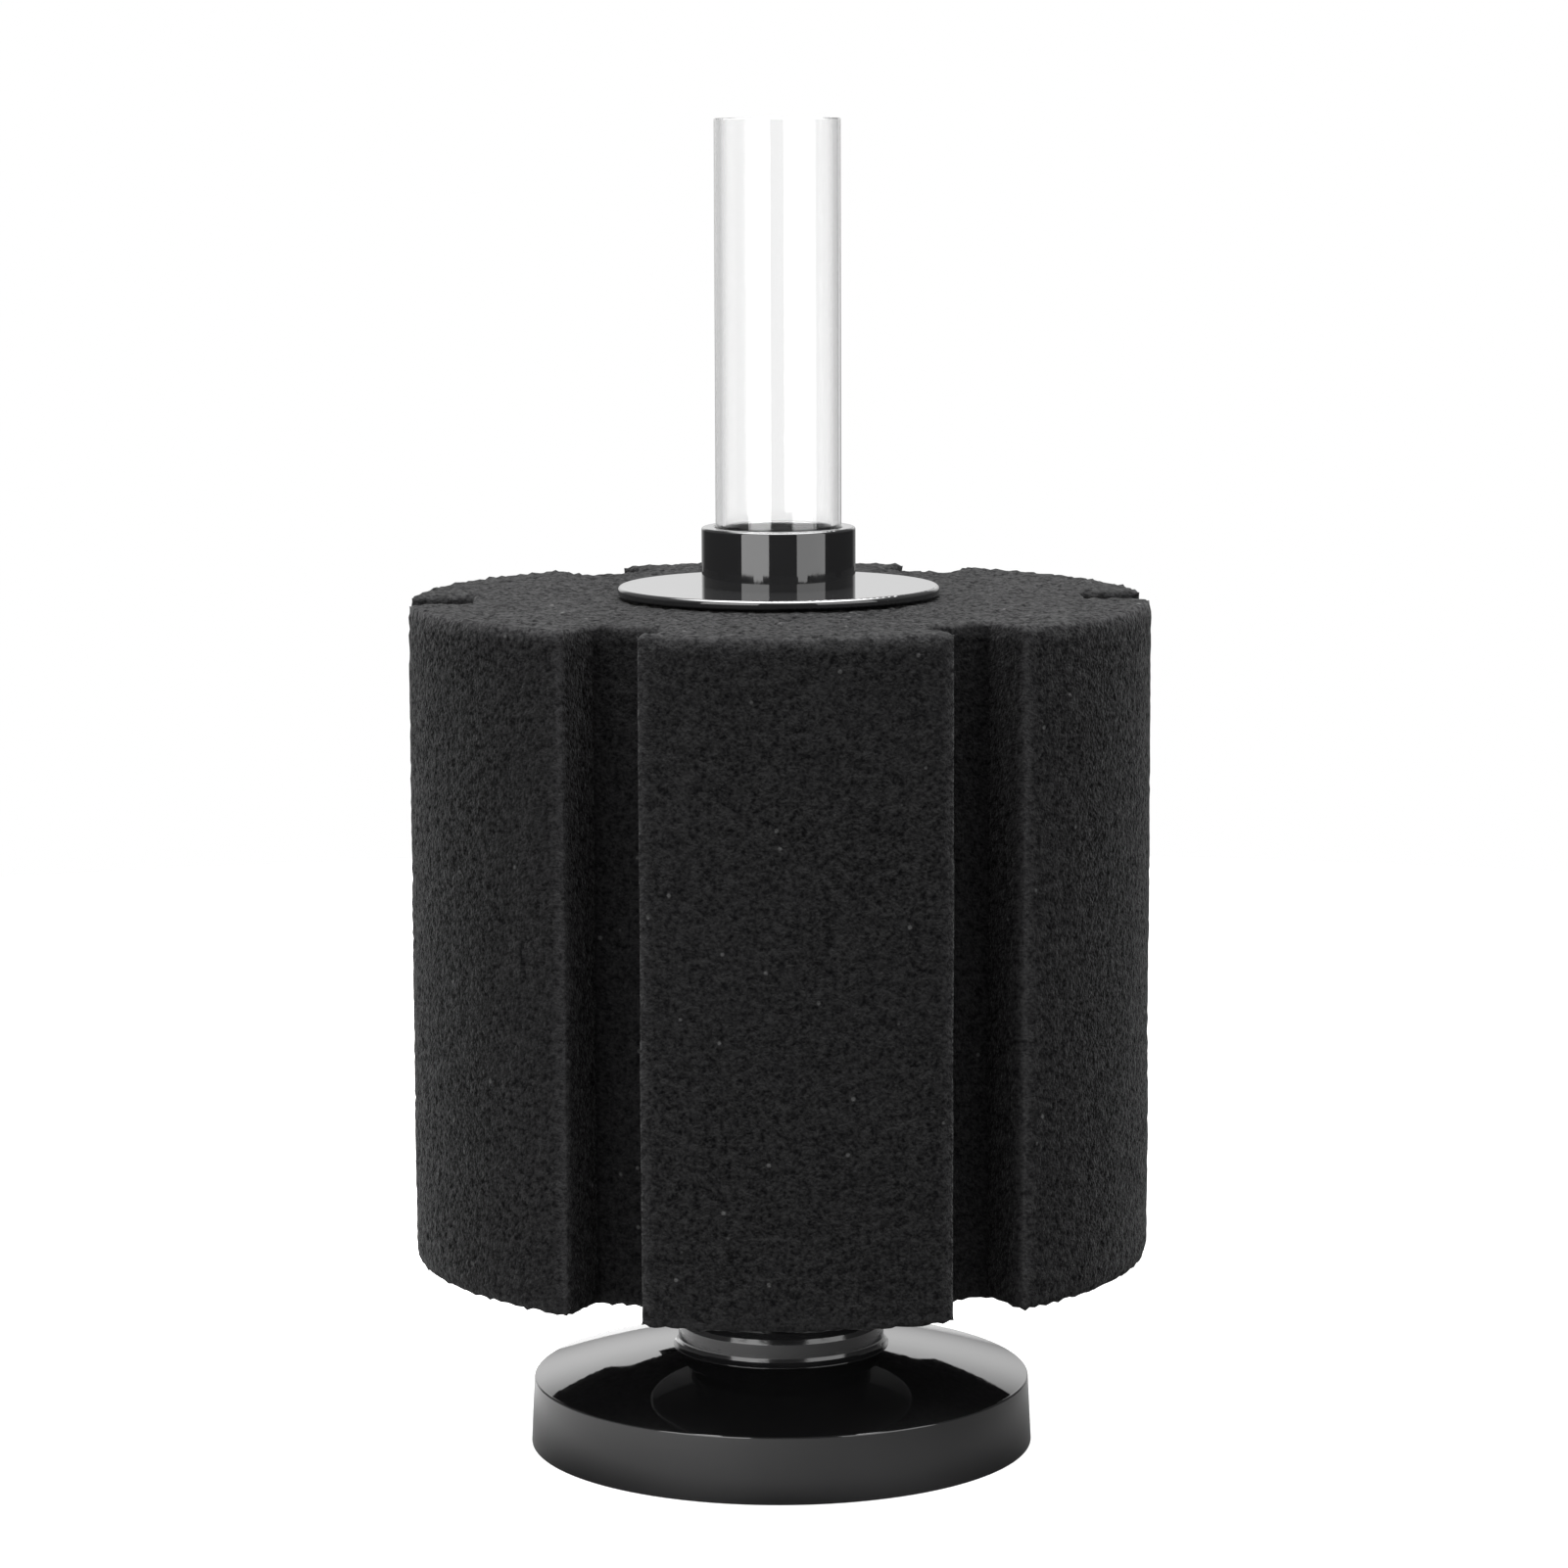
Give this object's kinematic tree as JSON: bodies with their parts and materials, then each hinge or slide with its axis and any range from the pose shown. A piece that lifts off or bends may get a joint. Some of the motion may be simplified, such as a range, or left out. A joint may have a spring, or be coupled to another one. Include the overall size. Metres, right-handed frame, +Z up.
{
  "type": "sponge filter",
  "caption": "Air-driven aquarium sponge filter: grooved foam sleeve on a slotted core, weighted round base, plugged cap and clear lift tube.",
  "frame": {"origin": "centre of the base's foot, on the surface that the filter stands on", "axes": "+Z up along the lift tube's axis; a groove of the sponge lies just off +X, and a fin faces -Y"},
  "size_m": [0.0948, 0.095, 0.1704],
  "materials": {
    "gloss_black": "polished black plastic",
    "satin_black": "satin black plastic",
    "grey_plastic": "satin dark grey plastic",
    "foam": "open-cell foam",
    "clear_acrylic": "clear polished acrylic",
    "ballast": "rough cast"
  },
  "bodies": {
    "base": {"base_shell": "gloss_black", "ballast_ring": "ballast", "base_cover": "satin_black", "core_socket": "satin_black"},
    "core": {"strainer_core": "satin_black", "bottom_plate": "gloss_black", "air_cup": "grey_plastic", "air_nozzle": "grey_plastic"},
    "sponge": {"sponge": "foam"},
    "cap": {"top_cap": "gloss_black"},
    "lift_tube": {"lift_tube": "clear_acrylic"}
  },
  "joints": [
    {"name": "core_unplug", "type": "slide", "parent": "base", "child": "core", "axis": [0, 0, 1], "range_m": [0, 0.01]},
    {"name": "sponge_slide", "type": "slide", "parent": "core", "child": "sponge", "axis": [0, 0, 1], "range_m": [0, 0.086]},
    {"name": "cap_unplug", "type": "slide", "parent": "sponge", "child": "cap", "axis": [0, 0, 1], "range_m": [0, 0.012]},
    {"name": "tube_unplug", "type": "slide", "parent": "cap", "child": "lift_tube", "axis": [0, 0, 1], "range_m": [0, 0.015]}
  ]
}
